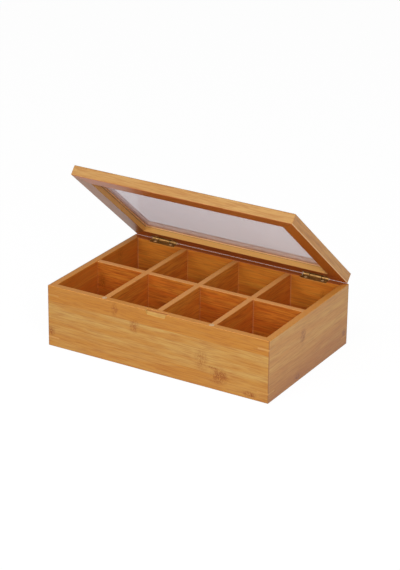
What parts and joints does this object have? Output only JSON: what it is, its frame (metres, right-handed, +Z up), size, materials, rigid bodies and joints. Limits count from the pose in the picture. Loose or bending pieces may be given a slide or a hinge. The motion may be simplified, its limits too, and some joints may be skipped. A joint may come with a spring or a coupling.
{
  "type": "tea bag organizer box",
  "caption": "Low bamboo box divided into compartments for tea bags, with a framed clear lid on brass hinges.",
  "frame": {"origin": "middle of the underside of the box", "axes": "+X to the right along the length, +Y from the front with the finger notch to the hinges at the back, +Z up"},
  "size_m": [0.32, 0.215, 0.2256],
  "materials": {
    "wall_bamboo": "satin",
    "inside_bamboo": "satin",
    "lid_bamboo": "satin",
    "key_wood": "satin",
    "clear_pane": "clear gloss",
    "clear_bumper": "clear gloss",
    "hinge_brass": "satin"
  },
  "bodies": {
    "box": {"front_wall": "wall_bamboo", "back_wall": "wall_bamboo", "left_wall": "wall_bamboo", "right_wall": "wall_bamboo", "bottom_panel": "inside_bamboo", "long_divider": "inside_bamboo", "cross_divider_left": "inside_bamboo", "cross_divider_middle": "inside_bamboo", "cross_divider_right": "inside_bamboo", "corner_keys_front_left": "key_wood", "corner_keys_front_right": "key_wood", "corner_keys_back_left": "key_wood", "corner_keys_back_right": "key_wood", "bumper_left": "clear_bumper", "bumper_right": "clear_bumper", "box_leaf_left": "hinge_brass", "box_leaf_right": "hinge_brass", "box_leaf_screws_left": "hinge_brass", "box_leaf_screws_right": "hinge_brass", "hinge_pin_left": "hinge_brass", "hinge_pin_right": "hinge_brass"},
    "lid": {"lid_front_rail": "lid_bamboo", "lid_back_rail": "lid_bamboo", "lid_left_rail": "lid_bamboo", "lid_right_rail": "lid_bamboo", "window_pane": "clear_pane", "lid_leaf_left": "hinge_brass", "lid_leaf_right": "hinge_brass", "lid_leaf_screws_left": "hinge_brass", "lid_leaf_screws_right": "hinge_brass"}
  },
  "joints": [
    {"name": "lid_hinge", "type": "hinge", "parent": "box", "child": "lid", "pos_m": [0, 0.1031, 0.08325], "axis": [-1, 0, 0], "range_deg": [-40.5, 59.5]}
  ]
}
